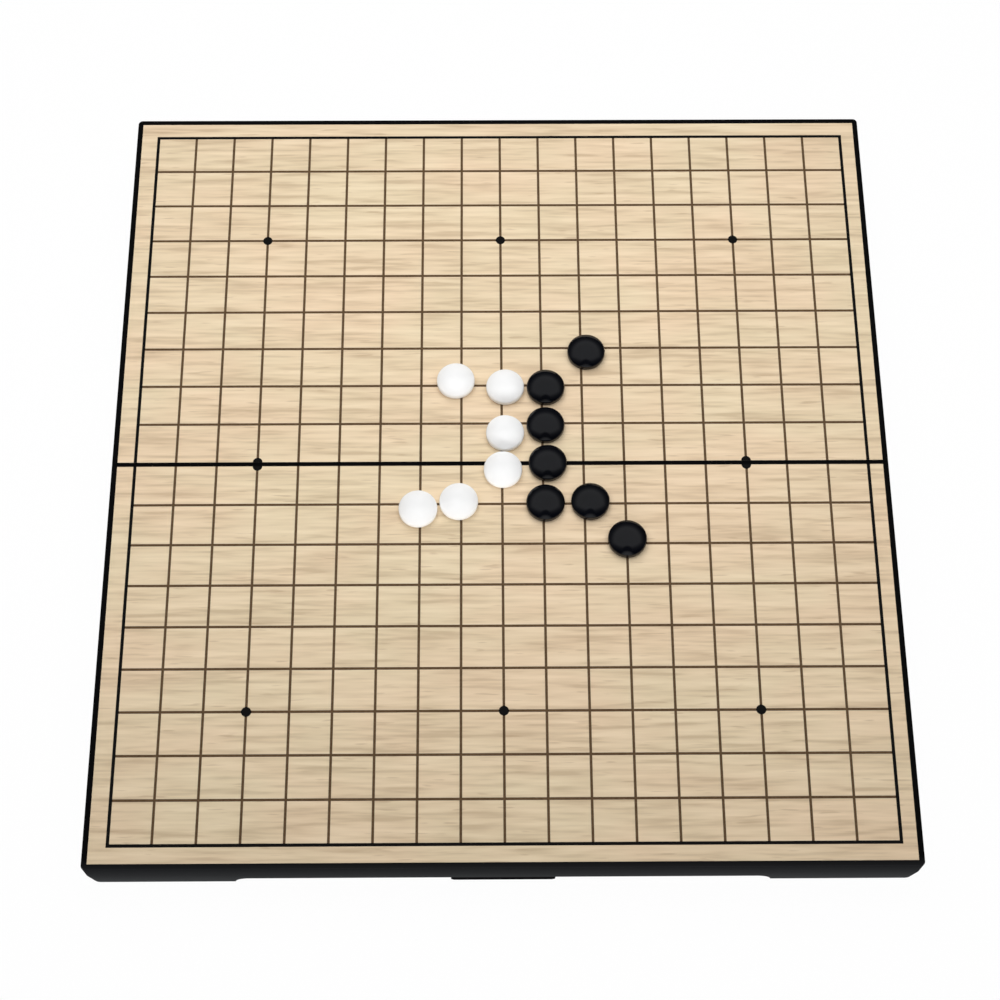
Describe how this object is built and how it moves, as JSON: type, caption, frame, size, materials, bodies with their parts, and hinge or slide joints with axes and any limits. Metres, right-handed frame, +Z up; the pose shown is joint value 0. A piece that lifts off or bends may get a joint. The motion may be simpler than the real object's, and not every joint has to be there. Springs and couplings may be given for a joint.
{
  "type": "magnetic travel go set",
  "caption": "Folding magnetic board for the game of go: two hinged shallow plastic case halves with a printed grid on top, lift-off domed stones and storage space underneath.",
  "frame": {"origin": "on the table under the middle of the seam between the two halves, with the board opened flat", "axes": "+X to the player's right along the seam, +Y away from the player, +Z up out of the playing surface"},
  "size_m": [0.37, 0.39, 0.0288],
  "materials": {
    "case_plastic": "satin",
    "plate_steel": "satin",
    "pin_steel": "satin",
    "board_sheet": "satin",
    "grid_ink": "satin",
    "white_stone": "gloss",
    "black_stone": "satin",
    "magnet": "matte"
  },
  "bodies": {
    "front_half": {"front_case": "case_plastic", "front_steel_plate": "plate_steel", "front_board_sheet": "board_sheet", "front_grid_print": "grid_ink", "hinge_pin_left": "pin_steel", "hinge_pin_middle": "pin_steel", "hinge_pin_right": "pin_steel"},
    "rear_half": {"rear_case": "case_plastic", "rear_steel_plate": "plate_steel", "rear_board_sheet": "board_sheet", "rear_grid_print": "grid_ink"},
    "white_stone_1": {"white_stone_1": "white_stone", "white_stone_magnet_1": "magnet"},
    "white_stone_2": {"white_stone_2": "white_stone", "white_stone_magnet_2": "magnet"},
    "white_stone_3": {"white_stone_3": "white_stone", "white_stone_magnet_3": "magnet"},
    "white_stone_4": {"white_stone_4": "white_stone", "white_stone_magnet_4": "magnet"},
    "white_stone_5": {"white_stone_5": "white_stone", "white_stone_magnet_5": "magnet"},
    "white_stone_6": {"white_stone_6": "white_stone", "white_stone_magnet_6": "magnet"},
    "black_stone_1": {"black_stone_1": "black_stone", "black_stone_magnet_1": "magnet"},
    "black_stone_2": {"black_stone_2": "black_stone", "black_stone_magnet_2": "magnet"},
    "black_stone_3": {"black_stone_3": "black_stone", "black_stone_magnet_3": "magnet"},
    "black_stone_4": {"black_stone_4": "black_stone", "black_stone_magnet_4": "magnet"},
    "black_stone_5": {"black_stone_5": "black_stone", "black_stone_magnet_5": "magnet"},
    "black_stone_6": {"black_stone_6": "black_stone", "black_stone_magnet_6": "magnet"},
    "black_stone_7": {"black_stone_7": "black_stone", "black_stone_magnet_7": "magnet"}
  },
  "joints": [
    {"name": "case_hinge", "type": "hinge", "parent": "front_half", "child": "rear_half", "pos_m": [0, 0, 0.00265], "axis": [-1, 0, 0], "range_deg": [0, 180]},
    {"name": "white_stone_1_lift", "type": "slide", "parent": "rear_half", "child": "white_stone_1", "axis": [0, 0, 1], "range_m": [0, 0.02]},
    {"name": "white_stone_2_lift", "type": "slide", "parent": "rear_half", "child": "white_stone_2", "axis": [0, 0, 1], "range_m": [0, 0.02]},
    {"name": "white_stone_3_lift", "type": "slide", "parent": "rear_half", "child": "white_stone_3", "axis": [0, 0, 1], "range_m": [0, 0.02]},
    {"name": "white_stone_4_lift", "type": "slide", "parent": "front_half", "child": "white_stone_4", "axis": [0, 0, 1], "range_m": [0, 0.02]},
    {"name": "white_stone_5_lift", "type": "slide", "parent": "front_half", "child": "white_stone_5", "axis": [0, 0, 1], "range_m": [0, 0.02]},
    {"name": "white_stone_6_lift", "type": "slide", "parent": "front_half", "child": "white_stone_6", "axis": [0, 0, 1], "range_m": [0, 0.02]},
    {"name": "black_stone_1_lift", "type": "slide", "parent": "rear_half", "child": "black_stone_1", "axis": [0, 0, 1], "range_m": [0, 0.02]},
    {"name": "black_stone_2_lift", "type": "slide", "parent": "rear_half", "child": "black_stone_2", "axis": [0, 0, 1], "range_m": [0, 0.02]},
    {"name": "black_stone_3_lift", "type": "slide", "parent": "rear_half", "child": "black_stone_3", "axis": [0, 0, 1], "range_m": [0, 0.02]},
    {"name": "black_stone_4_lift", "type": "slide", "parent": "front_half", "child": "black_stone_4", "axis": [0, 0, 1], "range_m": [0, 0.02]},
    {"name": "black_stone_5_lift", "type": "slide", "parent": "front_half", "child": "black_stone_5", "axis": [0, 0, 1], "range_m": [0, 0.02]},
    {"name": "black_stone_6_lift", "type": "slide", "parent": "front_half", "child": "black_stone_6", "axis": [0, 0, 1], "range_m": [0, 0.02]},
    {"name": "black_stone_7_lift", "type": "slide", "parent": "front_half", "child": "black_stone_7", "axis": [0, 0, 1], "range_m": [0, 0.02]}
  ]
}
